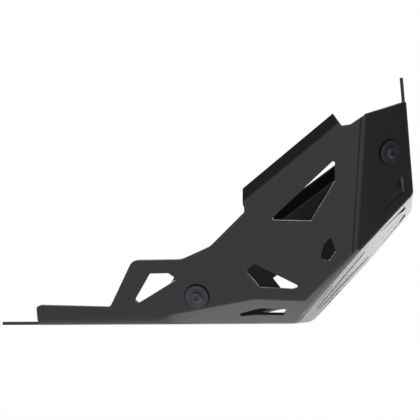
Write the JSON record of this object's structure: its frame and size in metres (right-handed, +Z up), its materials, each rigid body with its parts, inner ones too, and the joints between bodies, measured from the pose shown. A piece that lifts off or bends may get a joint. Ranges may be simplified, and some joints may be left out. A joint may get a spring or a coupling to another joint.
{
  "type": "motorcycle skid plate",
  "caption": "Folded sheet-metal skid plate that wraps the belly, nose and flanks of a motorcycle engine, with cut-out windows and rubber-mounted bolts.",
  "frame": {"origin": "under the middle of the guard, at the level of its belly", "axes": "+X forward, +Y to the rider's left, +Z up"},
  "size_m": [0.51, 0.3684, 0.296],
  "materials": {
    "powder_coat": "satin black powder coat, fine texture",
    "bolt": "satin dark grey",
    "washer": "satin dark grey",
    "rubber": "matt black",
    "zinc_steel": "satin, zinc plated"
  },
  "bodies": {
    "root": {"guard_shell": "powder_coat", "bolt_upper_right": "bolt", "washer_upper_right": "washer", "grommet_upper_right": "rubber", "spacer_upper_right": "zinc_steel", "backing_upper_right": "zinc_steel", "bolt_upper_left": "bolt", "washer_upper_left": "washer", "grommet_upper_left": "rubber", "spacer_upper_left": "zinc_steel", "backing_upper_left": "zinc_steel", "bolt_lower_right": "bolt", "washer_lower_right": "washer", "grommet_lower_right": "rubber", "spacer_lower_right": "zinc_steel", "backing_lower_right": "zinc_steel", "bolt_lower_left": "bolt", "washer_lower_left": "washer", "grommet_lower_left": "rubber", "spacer_lower_left": "zinc_steel", "backing_lower_left": "zinc_steel"}
  },
  "joints": []
}
